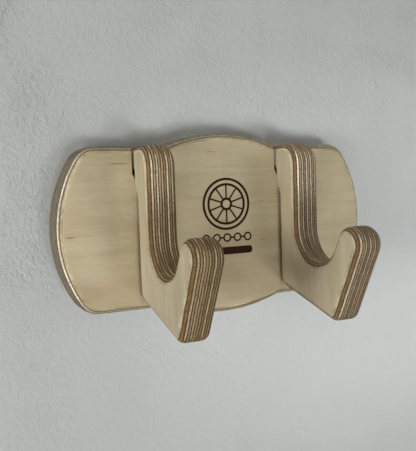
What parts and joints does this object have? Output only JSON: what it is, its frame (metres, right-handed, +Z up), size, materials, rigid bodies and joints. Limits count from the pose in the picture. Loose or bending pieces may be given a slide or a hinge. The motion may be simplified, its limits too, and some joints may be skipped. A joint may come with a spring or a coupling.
{
  "type": "bicycle wall rack",
  "caption": "Plywood wall rack: J-shaped hooks hang edge-on in open-topped slots of a rounded backplate and carry a bicycle's tube in their rounded seats.",
  "frame": {"origin": "centre of the backplate's rear face, on the wall", "axes": "+X along the wall to the right, +Y into the wall, +Z up; the hooks stand out along -Y"},
  "size_m": [0.203, 0.1385, 0.1085],
  "materials": {
    "backplate_plywood": "satin lacquer on birch face veneer, sanded ply edges",
    "hook_plywood": "satin lacquer on birch face veneer, sanded ply edges",
    "screw_steel": "zinc plated"
  },
  "bodies": {
    "backplate": {"backplate": "backplate_plywood", "wall_screw_upper_left": "screw_steel", "wall_screw_upper_right": "screw_steel", "wall_screw_lower_left": "screw_steel", "wall_screw_lower_right": "screw_steel"},
    "hook_left": {"hook_left": "hook_plywood"},
    "hook_right": {"hook_right": "hook_plywood"}
  },
  "joints": [
    {"name": "hook_left_lift", "type": "slide", "parent": "backplate", "child": "hook_left", "axis": [0, 0, 1], "range_m": [0, 0.041]},
    {"name": "hook_right_lift", "type": "slide", "parent": "backplate", "child": "hook_right", "axis": [0, 0, 1], "range_m": [0, 0.041]}
  ]
}
